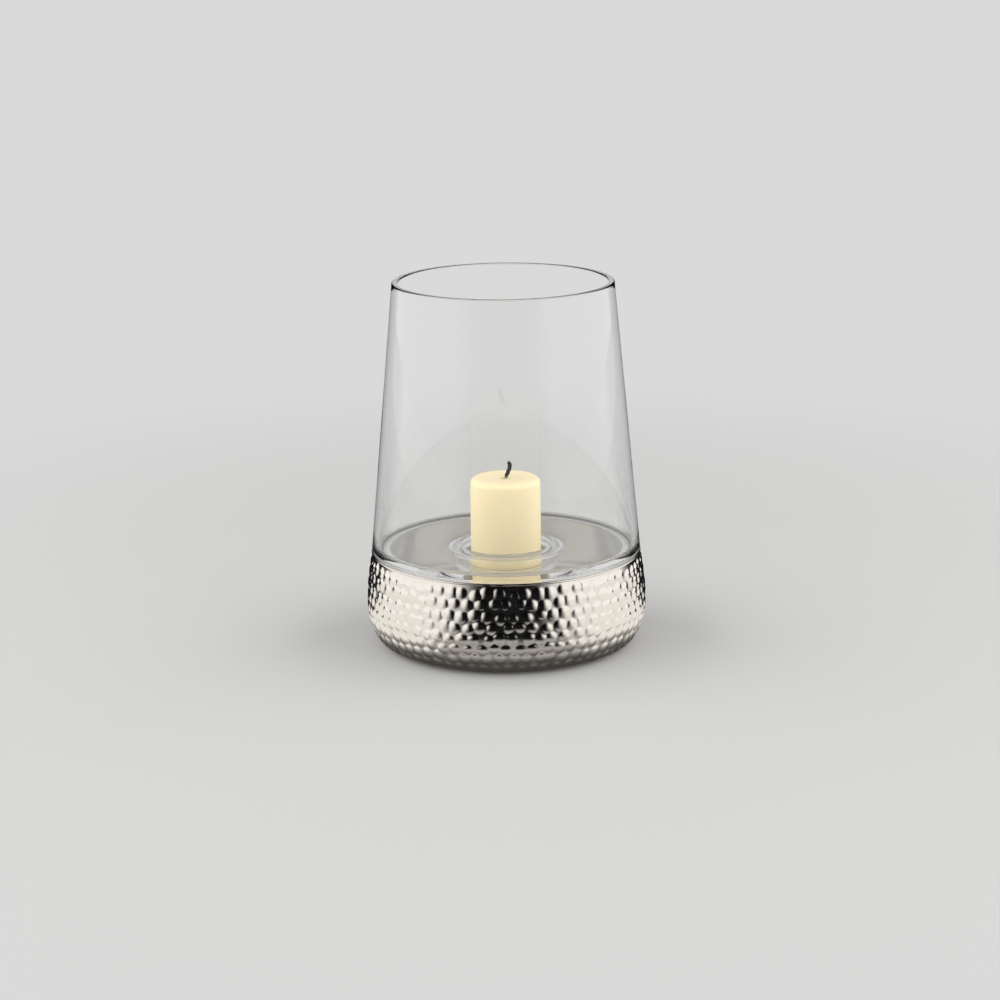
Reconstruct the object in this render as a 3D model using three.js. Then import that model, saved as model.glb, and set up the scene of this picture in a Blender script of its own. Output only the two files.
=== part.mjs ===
import * as THREE from "three";

// Hurricane candle holder. A hammered metal bowl stands on felt pads, and its turned-in rim
// forms a seat for a tapered glass. The glass has a closed floor with a well blown into it,
// which hangs inside the bowl and holds a pillar candle.
// Millimetres, +Z up. The origin is on the table, under the centre of the bowl.

const TAU = 2 * Math.PI;

// Felt pads under the bowl
const PAD_COUNT = 4;
const PAD_RADIUS = 9;
const PAD_THICKNESS = 1.5;
const PAD_EDGE_MARGIN = 14;

// Hammered bowl, heights measured from its flat underside
const BOWL_RADIUS = 100;
const BOWL_SHEET = 1.6;
const FOOT_INSET = 15;
const BELLY_HEIGHT = 28;
const SEAT_HEIGHT = 63.5;
const SEAT_WIDTH = 8;
const CRADLE_ANGLE = Math.PI / 4;

// Beads of the hammered pattern. The scatter is a share of their pitch, the margins are in rows,
// and the crown is the share of the way from a bead's peak to its foot where its dome steepens.
const BEADS_AROUND = 68;
const BEAD_HEIGHT = 1.3;
const BEAD_SCATTER = 0.1;
const BEAD_CROWN = 0.65;
const MARGIN_ABOVE_BEADS = 0.25;
const MARGIN_BELOW_BEADS = 0.25;

// Glass, heights measured from the face that rests on the seat
const GLASS_BASE_RADIUS = 95.9;
const GLASS_RIM_RADIUS = 77.9;
const GLASS_HEIGHT = 194.7;
const GLASS_WALL = 4.5;
const GLASS_CORNER = 4.5;
const GLASS_FLOOR = 6;
const GLASS_INNER_FILLET = 3;
const GLASS_RIM_ROUND = 1.2;
const WELL_CLEARANCE = 7;
const WELL_DEPTH = 19.5;
const WELL_EDGE = 2;
const WELL_FILLET = 3;
const WELL_OUTER_CORNER = 5;
const UNDERSIDE_FILLET = 7;

// Pillar candle and its wick
const CANDLE_RADIUS = 25;
const CANDLE_HEIGHT = 67.2;
const CANDLE_SHOULDER = 4.5;
const CANDLE_FOOT_ROUND = 1.2;
const DISH_RADIUS = 15;
const DISH_DEPTH = 1.2;
const WICK_RADIUS = 1;
const WICK_FREE_LENGTH = 12.5;
const WICK_LEAN = 3;

// Points of the wick's free end, as shares of its lean and of its free length
const WICK_BENDS = [
  [0, -0.15],
  [0, 0.05],
  [0.4, 0.35],
  [1, 0.7],
  [0.8, 1],
];

// Clearances
const SEAT_GAP = 0.3;
const WICK_GAP = 0.3;

// Facets round each piece, and steps along its curves
const INNER_WALL_FACETS = 34;
const GLASS_FACETS = 42;
const CANDLE_FACETS = 32;
const PAD_FACETS = 16;
const WICK_FACETS = 6;
const WICK_STEPS = 24;
const FILLET_STEPS = 2;
const LARGE_FILLET_STEPS = 3;
const LIP_STEPS = 3;
const CRADLE_STEPS = 2;
const INNER_WALL_STEPS = 6;

// Sizes that follow from the ones above
const beadedRadius = BOWL_RADIUS - BEAD_HEIGHT;
const footRadius = beadedRadius - FOOT_INSET;
const wellRadius = CANDLE_RADIUS + WELL_CLEARANCE;
const wellOuterRadius = wellRadius + GLASS_WALL;
const boreRadius = WICK_RADIUS + WICK_GAP;
const taper = (GLASS_BASE_RADIUS - GLASS_RIM_RADIUS) / GLASS_HEIGHT;
const wallAcross = GLASS_WALL * Math.hypot(1, taper);

// Centre of the rounded lower corner of the glass, tangent to its underside and tapered wall.
const cornerCentre = new THREE.Vector2(
  GLASS_BASE_RADIUS - GLASS_CORNER * (Math.hypot(1, taper) + taper),
  GLASS_CORNER,
);

const finishes = {
  nickel: { color: 0xd8d2c8, roughness: 0.12, metalness: 1 },
  glass: { color: 0xeaf2f0, roughness: 0.03, metalness: 0, transparent: true, opacity: 0.35 },
  wax: { color: 0xf0e2ba, roughness: 0.55, metalness: 0 },
  charredCotton: { color: 0x1a1613, roughness: 0.95, metalness: 0 },
  felt: { color: 0x1f2022, roughness: 1, metalness: 0 },
};

function piece(name, geometry, finish) {
  const mesh = new THREE.Mesh(geometry, new THREE.MeshStandardMaterial(finishes[finish]));
  mesh.name = name;
  return mesh;
}

// A corner of a profile in the plane of radius and height, rounded by a fillet in equal steps.
function corner(radius, height, fillet = 0, steps = FILLET_STEPS) {
  return { at: new THREE.Vector2(radius, height), fillet, steps };
}

// The points of one rounded corner: an arc tangent to the edges towards its two neighbours.
// Where an edge is short, the arc takes just under half of it.
function filletArc(before, { at, fillet, steps }, after) {
  const toBefore = before.clone().sub(at);
  const toAfter = after.clone().sub(at);
  const room = 0.49 * Math.min(toBefore.length(), toAfter.length());
  const halfAngle = Math.abs(toBefore.angleTo(toAfter)) / 2;
  const setback = Math.min(fillet / Math.tan(halfAngle), room);
  const radius = setback * Math.tan(halfAngle);
  const start = at.clone().addScaledVector(toBefore.normalize(), setback);
  const end = at.clone().addScaledVector(toAfter.normalize(), setback);
  const middle = toBefore.add(toAfter).normalize();
  const centre = at.clone().addScaledVector(middle, radius / Math.sin(halfAngle));
  const first = start.sub(centre);
  const turn = signedAngle(first, end.sub(centre));
  return Array.from({ length: steps + 1 }, (_, i) =>
    first.clone().rotateAround(new THREE.Vector2(), (turn * i) / steps).add(centre),
  );
}

function signedAngle(from, to) {
  return Math.atan2(from.cross(to), from.dot(to));
}

// Profile points from a list of corners. A closed profile joins its last corner to its first.
function roundedProfile(corners, closed = false) {
  const count = corners.length;
  const points = corners.flatMap((item, i) => {
    if (!item.fillet) return [item.at.clone()];
    return filletArc(corners[(i + count - 1) % count].at, item, corners[(i + 1) % count].at);
  });
  if (closed) points.push(points[0].clone());
  return points;
}

// A profile turned round the vertical axis.
function revolve(points, facets) {
  return new THREE.LatheGeometry(points, facets).rotateX(Math.PI / 2);
}

// The bowl's outer flank below its beads, from the edge of the flat underside to the lip:
// a quarter ellipse out to the belly, then a shallow parabola in towards the top.
class BowlFlank extends THREE.Curve {
  constructor(topRadius, topHeight) {
    super();
    this.topRadius = topRadius;
    this.topHeight = topHeight;
  }

  getPoint(t, target = new THREE.Vector2()) {
    if (t <= 0.5) {
      const turn = Math.PI * t;
      return target.set(
        footRadius + FOOT_INSET * Math.sin(turn),
        BELLY_HEIGHT * (1 - Math.cos(turn)),
      );
    }
    const rise = 2 * t - 1;
    return target.set(
      beadedRadius + (this.topRadius - beadedRadius) * rise * rise,
      BELLY_HEIGHT + (this.topHeight - BELLY_HEIGHT) * rise,
    );
  }

  // Radius and height at a share of the arc length, moved out along the surface normal.
  offsetPoint(share, distance) {
    const tangent = this.getTangentAt(THREE.MathUtils.clamp(share, 0, 1));
    const point = this.getPointAt(THREE.MathUtils.clamp(share, 0, 1));
    return point.add(new THREE.Vector2(tangent.y, -tangent.x).multiplyScalar(distance));
  }

  // The wall's inner face from a height near the top down to the floor of the bowl,
  // with its points closer together towards the tight curve at the foot.
  innerFace(fromHeight) {
    const topShare = 1 - (this.topHeight - fromHeight) / this.getLength();
    return Array.from({ length: INNER_WALL_STEPS + 1 }, (_, i) => {
      const remaining = 1 - i / INNER_WALL_STEPS;
      return this.offsetPoint(topShare * remaining * Math.sqrt(remaining), -BOWL_SHEET);
    });
  }
}

// A closed skin made of vertex rings, each stitched to the one before it.
class Skin {
  positions = [];
  faces = [];

  vertex(profilePoint, angle) {
    const { x: radius, y: height } = profilePoint;
    this.positions.push(radius * Math.cos(angle), radius * Math.sin(angle), height);
    return { index: this.positions.length / 3 - 1, angle };
  }

  // A ring whose first point lies half a facet past angle 0.
  ring(profilePoint, count) {
    return Array.from({ length: count }, (_, i) =>
      this.vertex(profilePoint, (TAU * (i + 0.5)) / count),
    );
  }

  face(a, b, c) {
    this.faces.push(a.index, b.index, c.index);
  }

  // Joins two rings of any counts, always stepping along the one that lies behind.
  stitch(near, far) {
    const at = (ring, i) => ring[i % ring.length];
    const angleAt = (ring, i) => at(ring, i).angle + TAU * Math.floor(i / ring.length);
    let i = 0;
    let j = 0;
    while (i < near.length || j < far.length) {
      const stepNear =
        j === far.length || (i < near.length && angleAt(near, i + 1) <= angleAt(far, j + 1));
      if (stepNear) {
        this.face(at(near, i), at(near, i + 1), at(far, j));
        i += 1;
      } else {
        this.face(at(near, i), at(far, j + 1), at(far, j));
        j += 1;
      }
    }
  }

  stitchAll(rings) {
    rings.slice(1).forEach((ring, i) => this.stitch(rings[i], ring));
  }

  // Closes a ring with a flat fan round a point on the axis, facing down or up.
  cap(ring, height, facesUp) {
    const centre = this.vertex(new THREE.Vector2(0, height), 0);
    ring.forEach((point, i) => {
      const next = ring[(i + 1) % ring.length];
      if (facesUp) this.face(centre, point, next);
      else this.face(centre, next, point);
    });
  }

  geometry() {
    const geometry = new THREE.BufferGeometry();
    geometry.setAttribute("position", new THREE.Float32BufferAttribute(this.positions, 3));
    geometry.setIndex(this.faces);
    geometry.computeVertexNormals();
    return geometry;
  }
}

// Repeatable scatter between -1 and 1 for one bead of the pattern.
function scatter(row, column, salt) {
  const wave = Math.sin(row * 12.9898 + column * 78.233 + salt * 37.719) * 43758.5453;
  return 2 * (wave - Math.floor(wave)) - 1;
}

// The hammered pattern: domed beads in staggered rows that wander a little, as work by hand does.
// Each bead rises inside six low points, and every low point lies between three beads.
class BeadPattern {
  constructor(skin, flank) {
    this.skin = skin;
    this.flank = flank;
    this.pitch = TAU / BEADS_AROUND;
    const length = flank.getLength();
    const rowSpacing = (beadedRadius * this.pitch * Math.sqrt(3)) / 2;
    this.rows = Math.floor(length / rowSpacing - MARGIN_ABOVE_BEADS - MARGIN_BELOW_BEADS);
    this.rowShare = rowSpacing / length;
    this.firstShare = 1 - (this.rows + MARGIN_ABOVE_BEADS) * this.rowShare;
  }

  // Angle and arc share of a bead. Rows outside the pattern keep its edges even.
  centre(row, column) {
    const stagger = row % 2 === 0 ? 0 : 0.5;
    const inside = row >= 0 && row < this.rows;
    const wander = inside ? BEAD_SCATTER : 0;
    const wrapped = (column + BEADS_AROUND) % BEADS_AROUND;
    return {
      angle: this.pitch * (column + stagger + wander * scatter(row, wrapped, 1)),
      share: this.firstShare + this.rowShare * (row + 0.5 + wander * scatter(row, wrapped, 2)),
    };
  }

  // The low point between three beads, on the flank itself.
  lowPoint(...beads) {
    const angle = beads.reduce((sum, bead) => sum + bead.angle, 0) / beads.length;
    const share = beads.reduce((sum, bead) => sum + bead.share, 0) / beads.length;
    return { ...this.skin.vertex(this.flank.offsetPoint(share, 0), angle), share };
  }

  // The two low points per column between a row and the row above it.
  lowPoints(row) {
    const shift = row % 2 === 0 ? 0 : 1;
    return Array.from({ length: BEADS_AROUND }, (_, column) => ({
      belowPeak: this.lowPoint(
        this.centre(row, column),
        this.centre(row, column + 1),
        this.centre(row + 1, column + shift),
      ),
      abovePeak: this.lowPoint(
        this.centre(row + 1, column),
        this.centre(row + 1, column + 1),
        this.centre(row, column + 1 - shift),
      ),
    }));
  }

  // Builds every bead and returns the ragged rings at the two edges of the pattern.
  build() {
    const bands = [];
    for (let row = -1; row < this.rows; row += 1) bands.push(this.lowPoints(row));
    for (let row = 0; row < this.rows; row += 1) {
      for (let column = 0; column < BEADS_AROUND; column += 1) {
        const foot = this.footOf(row, column, bands[row], bands[row + 1]);
        this.bead(this.centre(row, column), foot);
      }
    }
    return { lower: ringOf(bands[0]), upper: ringOf(bands[this.rows]) };
  }

  // The six low points round one bead, in order.
  footOf(row, column, below, above) {
    const at = (band, i) => band[(i + BEADS_AROUND) % BEADS_AROUND];
    const shift = row % 2 === 0 ? 0 : 1;
    return [
      at(below, column).abovePeak,
      at(above, column).belowPeak,
      at(above, column - 1 + shift).abovePeak,
      at(above, column - 1).belowPeak,
      at(below, column - 1).abovePeak,
      at(below, column - 1 + shift).belowPeak,
    ];
  }

  // One dome: a fan round its peak out to the crown, then steeper faces down to its foot.
  bead(centre, foot) {
    const peak = this.skin.vertex(this.flank.offsetPoint(centre.share, BEAD_HEIGHT), centre.angle);
    const crown = foot.map((low) => this.crownPoint(centre, low));
    foot.forEach((low, i) => {
      const next = (i + 1) % foot.length;
      this.skin.face(peak, crown[i], crown[next]);
      this.skin.face(crown[i], low, foot[next]);
      this.skin.face(crown[i], foot[next], crown[next]);
    });
  }

  // A point of the crown, on the way from a bead's peak to one low point of its foot.
  crownPoint(centre, low) {
    const turn = THREE.MathUtils.euclideanModulo(low.angle - centre.angle + Math.PI, TAU) - Math.PI;
    const share = THREE.MathUtils.lerp(centre.share, low.share, BEAD_CROWN);
    const height = BEAD_HEIGHT * Math.sqrt(1 - BEAD_CROWN ** 2);
    return this.skin.vertex(this.flank.offsetPoint(share, height), centre.angle + turn * BEAD_CROWN);
  }
}

function ringOf(band) {
  return band
    .flatMap(({ belowPeak, abovePeak }) => [belowPeak, abovePeak])
    .map(({ index, angle }) => ({ index, angle: (angle + TAU) % TAU }))
    .sort((a, b) => a.angle - b.angle);
}

// The seat's cradle follows the rounded corner of the glass, one seat gap outside it.
function cradleArc() {
  const radius = GLASS_CORNER + SEAT_GAP;
  return Array.from({ length: CRADLE_STEPS + 1 }, (_, i) => {
    const angle = CRADLE_ANGLE * (1 - i / CRADLE_STEPS);
    return new THREE.Vector2(
      cornerCentre.x + radius * Math.sin(angle),
      SEAT_HEIGHT + SEAT_GAP + cornerCentre.y - radius * Math.cos(angle),
    );
  });
}

// The lip rolled over from the outer wall to the start of the cradle.
function lipRoll(cradleStart) {
  const radius = BOWL_SHEET / 2;
  return Array.from({ length: LIP_STEPS }, (_, i) => {
    const angle = (Math.PI * i) / LIP_STEPS;
    return new THREE.Vector2(
      cradleStart.x + radius + radius * Math.cos(angle),
      cradleStart.y + radius * Math.sin(angle),
    );
  });
}

function hammeredBowl() {
  const cradle = cradleArc();
  const lip = lipRoll(cradle[0]);
  const flank = new BowlFlank(lip[0].x - BEAD_HEIGHT, lip[0].y - BEAD_HEIGHT);
  const seatEdge = cornerCentre.x - SEAT_WIDTH;
  const seatUnderside = SEAT_HEIGHT - BOWL_SHEET;
  const upperFace = [...lip, ...cradle, new THREE.Vector2(seatEdge, SEAT_HEIGHT)];
  const hollow = [new THREE.Vector2(seatEdge, seatUnderside), ...flank.innerFace(seatUnderside)];

  const skin = new Skin();
  const { lower, upper } = new BeadPattern(skin, flank).build();
  const foot = skin.ring(new THREE.Vector2(footRadius, 0), BEADS_AROUND);
  const rings = [
    ...upperFace.map((point) => skin.ring(point, BEADS_AROUND)),
    ...hollow.map((point) => skin.ring(point, INNER_WALL_FACETS)),
  ];
  skin.cap(foot, 0, false);
  skin.stitchAll([foot, lower]);
  skin.stitchAll([upper, ...rings]);
  skin.cap(rings.at(-1), BOWL_SHEET, true);
  return piece("hammered_bowl", skin.geometry(), "nickel");
}

function feltPads() {
  const circleRadius = footRadius - PAD_EDGE_MARGIN;
  return Array.from({ length: PAD_COUNT }, (_, i) => {
    const geometry = new THREE.CylinderGeometry(PAD_RADIUS, PAD_RADIUS, PAD_THICKNESS, PAD_FACETS);
    geometry.rotateX(Math.PI / 2);
    const pad = piece(`felt_pad_${i + 1}`, geometry, "felt");
    const angle = (TAU * (i + 0.5)) / PAD_COUNT;
    pad.position.set(
      circleRadius * Math.cos(angle),
      circleRadius * Math.sin(angle),
      PAD_THICKNESS / 2,
    );
    return pad;
  });
}

// One thick-walled blown piece: well, underside, tapered wall, ground rim, and the inside again.
function hurricaneGlass() {
  const wellFloor = GLASS_FLOOR - WELL_DEPTH;
  const floorRadius = GLASS_BASE_RADIUS - taper * GLASS_FLOOR - wallAcross;
  const profile = roundedProfile([
    corner(0, wellFloor - GLASS_WALL),
    corner(wellOuterRadius, wellFloor - GLASS_WALL, WELL_OUTER_CORNER),
    corner(wellOuterRadius, 0, UNDERSIDE_FILLET),
    corner(GLASS_BASE_RADIUS, 0, GLASS_CORNER, LARGE_FILLET_STEPS),
    corner(GLASS_RIM_RADIUS, GLASS_HEIGHT, GLASS_RIM_ROUND),
    corner(GLASS_RIM_RADIUS - wallAcross, GLASS_HEIGHT, GLASS_RIM_ROUND),
    corner(floorRadius, GLASS_FLOOR, GLASS_INNER_FILLET),
    corner(wellRadius, GLASS_FLOOR, WELL_EDGE),
    corner(wellRadius, wellFloor, WELL_FILLET),
    corner(0, wellFloor),
  ]);
  return piece("hurricane_glass", revolve(profile, GLASS_FACETS), "glass");
}

// A part-burnt pillar: worn shoulder, shallow dish round the wick, bore for the wick.
function pillarCandle() {
  const profile = roundedProfile(
    [
      corner(boreRadius, 0),
      corner(CANDLE_RADIUS, 0, CANDLE_FOOT_ROUND),
      corner(CANDLE_RADIUS, CANDLE_HEIGHT, CANDLE_SHOULDER, LARGE_FILLET_STEPS),
      corner(DISH_RADIUS, CANDLE_HEIGHT),
      corner(boreRadius, CANDLE_HEIGHT - DISH_DEPTH),
    ],
    true,
  );
  return piece("pillar_candle", revolve(profile, CANDLE_FACETS), "wax");
}

// The wick runs straight through the wax, then leans and bends where it is charred.
function candleWick() {
  const burntFrom = CANDLE_HEIGHT - DISH_DEPTH;
  const route = new THREE.CatmullRomCurve3([
    new THREE.Vector3(0, 0, 0),
    new THREE.Vector3(0, 0, burntFrom / 2),
    ...WICK_BENDS.map(
      ([lean, rise]) =>
        new THREE.Vector3(lean * WICK_LEAN, 0, burntFrom + rise * WICK_FREE_LENGTH),
    ),
  ]);
  const corners = Array.from({ length: WICK_FACETS }, (_, i) =>
    new THREE.Vector2(WICK_RADIUS, 0).rotateAround(new THREE.Vector2(), (TAU * i) / WICK_FACETS),
  );
  const geometry = new THREE.ExtrudeGeometry(new THREE.Shape(corners), {
    steps: WICK_STEPS,
    extrudePath: route,
  });
  return piece("candle_wick", geometry, "charredCotton");
}

function group(height, ...children) {
  const holder = new THREE.Group();
  holder.position.z = height;
  return holder.add(...children);
}

const candleAssembly = group(
  GLASS_FLOOR - WELL_DEPTH + SEAT_GAP,
  pillarCandle(),
  candleWick(),
);
const glassAssembly = group(SEAT_HEIGHT + SEAT_GAP, hurricaneGlass(), candleAssembly);
const bowlAssembly = group(PAD_THICKNESS, hammeredBowl(), glassAssembly);
const candleHolder = group(0, ...feltPads(), bowlAssembly);

export default candleHolder;
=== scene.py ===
"""Looks of a hurricane candle holder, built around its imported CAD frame.

A hammered nickel bowl on felt pads carries a tapered clear glass. The closed floor of the glass
has a blown well, which holds a part-burnt ivory pillar candle. Lengths are metres, +Z is up and
the origin is on the table, under the centre of the bowl.
"""

from __future__ import annotations

import logging
import math
from bisect import bisect_left
from collections.abc import Iterable, Sequence
from dataclasses import dataclass
from enum import Enum

import bpy
from mathutils import Matrix, Vector

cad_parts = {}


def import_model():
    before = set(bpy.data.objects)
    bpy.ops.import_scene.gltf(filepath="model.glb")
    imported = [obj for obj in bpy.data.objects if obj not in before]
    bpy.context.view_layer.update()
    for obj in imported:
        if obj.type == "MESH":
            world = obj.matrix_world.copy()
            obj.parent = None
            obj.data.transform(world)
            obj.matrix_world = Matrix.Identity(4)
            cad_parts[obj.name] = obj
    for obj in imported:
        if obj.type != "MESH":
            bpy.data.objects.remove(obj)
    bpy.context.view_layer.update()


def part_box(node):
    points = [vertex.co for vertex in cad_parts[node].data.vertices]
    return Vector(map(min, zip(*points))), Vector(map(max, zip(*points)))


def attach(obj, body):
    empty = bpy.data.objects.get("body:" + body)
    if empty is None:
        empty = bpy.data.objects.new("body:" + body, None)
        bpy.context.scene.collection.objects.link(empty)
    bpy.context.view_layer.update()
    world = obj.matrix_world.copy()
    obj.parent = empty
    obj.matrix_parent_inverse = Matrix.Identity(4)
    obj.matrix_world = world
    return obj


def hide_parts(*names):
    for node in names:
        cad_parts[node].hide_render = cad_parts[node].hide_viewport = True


LOG = logging.getLogger("candle_holder")
MM = 0.001
MERGE_DISTANCE = 0.001 * MM

Colour = tuple[float, float, float, float]
Point = tuple[float, float, float]
Range = tuple[float, float]
Edges = tuple[Range, Range]
Settings = dict[str, object]
Inputs = dict[str | int, object]

WHITE: Colour = (1.0, 1.0, 1.0, 1.0)
# Lies below any distance or angle, so that a fade over it thins nothing out.
NOWHERE: Range = (-2.0, -1.0)


class Body(Enum):
    """Moving bodies of the frame."""

    BOWL = "bowl"
    GLASS = "glass"
    CANDLE = "candle"


class Slot(Enum):
    """Names of material slots."""

    NICKEL = "nickel"
    GLASS = "clear_glass"
    WAX = "wax"
    WICK = "wick"
    FELT = "felt"


class Mark(Enum):
    """Attributes that the meshes carry for their own shaping or finish."""

    RELIEF = "relief"
    BEAD_SIZE = "bead_size"
    DOME = "dome"
    BURN = "burn"


def srgb(red: int, green: int, blue: int) -> Colour:
    """Converts a display colour to the linear colour that shaders take.

    Args:
        red: Red, from 0 to 255.
        green: Green, from 0 to 255.
        blue: Blue, from 0 to 255.

    Returns:
        The linear colour with full alpha.
    """

    def linear(value: int) -> float:
        """Converts one channel."""
        share = value / 255
        return share / 12.92 if share <= 0.04045 else ((share + 0.055) / 1.055) ** 2.4

    return linear(red), linear(green), linear(blue), 1.0


class Wire:
    """An output socket whose arithmetic adds Math nodes to its tree."""

    def __init__(self, graph: Graph, socket: bpy.types.NodeSocket) -> None:
        """Wraps a socket of one graph."""
        self.graph = graph
        self.socket = socket

    def __add__(self, other: Wire | float) -> Wire:
        """Adds a value."""
        return self.graph.math("ADD", self, other)

    def __radd__(self, other: float) -> Wire:
        """Adds a value on the left."""
        return self.graph.math("ADD", other, self)

    def __sub__(self, other: Wire | float) -> Wire:
        """Subtracts a value."""
        return self.graph.math("SUBTRACT", self, other)

    def __rsub__(self, other: float) -> Wire:
        """Subtracts this wire from a value."""
        return self.graph.math("SUBTRACT", other, self)

    def __mul__(self, other: Wire | float) -> Wire:
        """Multiplies by a value."""
        return self.graph.math("MULTIPLY", self, other)

    def __rmul__(self, other: float) -> Wire:
        """Multiplies a value on the left."""
        return self.graph.math("MULTIPLY", other, self)

    def __truediv__(self, other: Wire | float) -> Wire:
        """Divides by a value."""
        return self.graph.math("DIVIDE", self, other)

    def __pow__(self, other: Wire | float) -> Wire:
        """Raises to a power."""
        return self.graph.math("POWER", self, other)

    def at_least(self, other: Wire | float) -> Wire:
        """The larger of this wire and a value."""
        return self.graph.math("MAXIMUM", self, other)

    def at_most(self, other: Wire | float) -> Wire:
        """The smaller of this wire and a value."""
        return self.graph.math("MINIMUM", self, other)

    def between(self, low: float, high: float) -> Wire:
        """A smooth step from 0 at the low value to 1 at the high value."""
        return self.graph.wire(
            "ShaderNodeMapRange",
            {"interpolation_type": "SMOOTHSTEP"},
            {"Value": self, "From Min": low, "From Max": high},
            "Result",
        )


class Graph:
    """Adds nodes to one node tree, whether of a material, the world or a modifier."""

    def __init__(self, tree: bpy.types.NodeTree) -> None:
        """Wraps a node tree."""
        self.tree = tree

    def node(self, kind: str, settings: Settings, inputs: Inputs) -> bpy.types.Node:
        """Adds a node, sets its settings and then feeds its sockets.

        Args:
            kind: Type name of the node.
            settings: Properties of the node.
            inputs: Values or wires by socket name or index.

        Returns:
            The new node.
        """
        node = self.tree.nodes.new(kind)
        for name, value in settings.items():
            setattr(node, name, value)
        for key, value in inputs.items():
            if isinstance(value, Wire):
                self.tree.links.new(value.socket, node.inputs[key])
            else:
                node.inputs[key].default_value = value
        return node

    def wires(
        self, kind: str, settings: Settings, inputs: Inputs, outputs: Iterable[str | int]
    ) -> list[Wire]:
        """Adds a node and wraps some of its outputs, given by name or index."""
        node = self.node(kind, settings, inputs)
        return [Wire(self, node.outputs[output]) for output in outputs]

    def wire(self, kind: str, settings: Settings, inputs: Inputs, output: str | int = 0) -> Wire:
        """Adds a node and wraps one of its outputs, given by name or index."""
        return self.wires(kind, settings, inputs, [output])[0]

    def math(self, operation: str, *values: Wire | float) -> Wire:
        """Adds a Math node of one operation, with its values in order."""
        return self.wire("ShaderNodeMath", {"operation": operation}, dict(enumerate(values)))

    def vector_math(self, operation: str, *values: Wire, output: str = "Vector") -> Wire:
        """Adds a Vector Math node of one operation, with its vectors in order."""
        settings = {"operation": operation}
        return self.wire("ShaderNodeVectorMath", settings, dict(enumerate(values)), output)

    def length(self, vector: Wire) -> Wire:
        """The length of a vector."""
        return self.vector_math("LENGTH", vector, output="Value")

    def scaled(self, vector: Wire, factor: Wire | float) -> Wire:
        """A vector times a number."""
        values = {0: vector, "Scale": factor}
        return self.wire("ShaderNodeVectorMath", {"operation": "SCALE"}, values, "Vector")

    def axes(self, vector: Wire) -> list[Wire]:
        """The three parts of a vector."""
        return self.wires("ShaderNodeSeparateXYZ", {}, {0: vector}, range(3))

    def vector(self, x: Wire | float, y: Wire | float, z: Wire | float) -> Wire:
        """A vector from its three parts."""
        return self.wire("ShaderNodeCombineXYZ", {}, {0: x, 1: y, 2: z})

    def light_path(self, *outputs: str) -> list[Wire]:
        """What kind of ray asks, by names of the Light Path node's outputs."""
        return self.wires("ShaderNodeLightPath", {}, {}, outputs)


def blended(wires: Sequence[Wire], shares: Sequence[float]) -> Wire:
    """Adds wires, each times its share."""
    first, *others = (wire * share for wire, share in zip(wires, shares))
    return sum(others, first)


@dataclass(frozen=True)
class Pattern:
    """Noise on a surface: cells to the metre, octaves, share of the finer ones, and stretch."""

    scale: float
    detail: float
    rough: float = 0.5
    stretch: Point | None = None


class SurfaceGraph(Graph):
    """The nodes of one material, whose patterns follow the points of the part's frame."""

    def __init__(self, name: str) -> None:
        """Starts an empty material.

        Args:
            name: Name of the material.
        """
        self.material = bpy.data.materials.new(name)
        self.material.use_nodes = True
        super().__init__(self.material.node_tree)
        self.tree.nodes.clear()
        self.place = self.wire("ShaderNodeTexCoord", {}, {}, "Object")

    def noise(self, pattern: Pattern) -> Wire:
        """Noise between 0 and 1.

        Args:
            pattern: Its scale, octaves and stretch.

        Returns:
            The noise value.
        """
        place = self.place
        if pattern.stretch:
            place = self.wire("ShaderNodeMapping", {}, {"Vector": place, "Scale": pattern.stretch})
        values = {"Scale": pattern.scale, "Detail": pattern.detail, "Roughness": pattern.rough}
        return self.wire("ShaderNodeTexNoise", {}, {"Vector": place, **values})

    def mark(self, mark: Mark) -> Wire:
        """A number that the mesh carries."""
        return self.wire("ShaderNodeAttribute", {"attribute_name": mark.value}, {}, "Fac")

    def mix(self, share: Wire | float, first: Wire | Colour, second: Wire | Colour) -> Wire:
        """A mix of two colours, all second at a share of 1."""
        values = {0: share, 6: first, 7: second}
        return self.wire("ShaderNodeMix", {"data_type": "RGBA"}, values, 2)

    def bump(self, height: Wire, depth: float) -> Wire:
        """A normal bumped by a height from 0 to 1, where 1 means a depth in metres."""
        values = {"Height": height, "Distance": depth, "Strength": 1.0}
        return self.wire("ShaderNodeBump", {}, values, "Normal")

    def principled(self, inputs: Inputs) -> Wire:
        """A Principled shader."""
        return self.wire("ShaderNodeBsdfPrincipled", {}, inputs)

    def matte(self, colour: Colour) -> Wire:
        """A shader of one dull colour that reflects nothing."""
        return self.principled({"Base Color": colour, "Roughness": 1.0, "Specular IOR Level": 0.0})

    def thinned(self, shader: Wire, share: Wire, tint: Colour = WHITE) -> Wire:
        """A shader that light passes straight through, all of it at a share of 1."""
        clear = self.wire("ShaderNodeBsdfTransparent", {}, {"Color": tint})
        return self.wire("ShaderNodeMixShader", {}, {0: share, 1: shader, 2: clear})

    def finished(self, shader: Wire) -> bpy.types.Material:
        """Joins a shader to the output and gives the material."""
        self.node("ShaderNodeOutputMaterial", {}, {"Surface": shader})
        return self.material


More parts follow.
